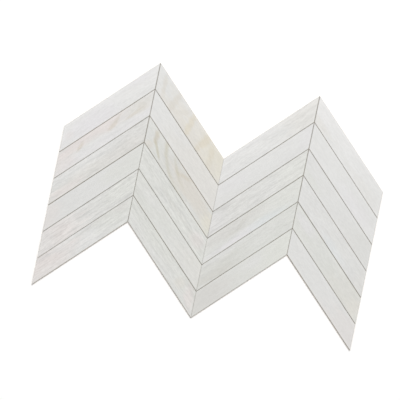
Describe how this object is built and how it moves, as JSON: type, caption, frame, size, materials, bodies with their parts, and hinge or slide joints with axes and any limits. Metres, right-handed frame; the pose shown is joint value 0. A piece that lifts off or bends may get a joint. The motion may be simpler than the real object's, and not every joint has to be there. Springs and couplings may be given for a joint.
{
  "type": "chevron wooden wall panel",
  "caption": "Flat zigzag wall panel of pale mitred wooden planks laid as a double chevron on a thin backing board, to be glued to a wall beside like panels.",
  "frame": {"origin": "middle of the panel's outline, on the back of the backing board", "axes": "+Z out of the face, +Y up the panel towards its ridges, +X to the right as seen from the face"},
  "size_m": [0.6, 0.4493, 0.006],
  "materials": {
    "plank_wood": "pale whitewashed wood, matt",
    "backing_board": "raw thin plywood"
  },
  "bodies": {
    "root": {"backing_board": "backing_board", "plank_far_left_1": "plank_wood", "plank_far_left_2": "plank_wood", "plank_far_left_3": "plank_wood", "plank_far_left_4": "plank_wood", "plank_far_left_5": "plank_wood", "plank_far_left_6": "plank_wood", "plank_mid_left_1": "plank_wood", "plank_mid_left_2": "plank_wood", "plank_mid_left_3": "plank_wood", "plank_mid_left_4": "plank_wood", "plank_mid_left_5": "plank_wood", "plank_mid_left_6": "plank_wood", "plank_mid_right_1": "plank_wood", "plank_mid_right_2": "plank_wood", "plank_mid_right_3": "plank_wood", "plank_mid_right_4": "plank_wood", "plank_mid_right_5": "plank_wood", "plank_mid_right_6": "plank_wood", "plank_far_right_1": "plank_wood", "plank_far_right_2": "plank_wood", "plank_far_right_3": "plank_wood", "plank_far_right_4": "plank_wood", "plank_far_right_5": "plank_wood", "plank_far_right_6": "plank_wood"}
  },
  "joints": []
}
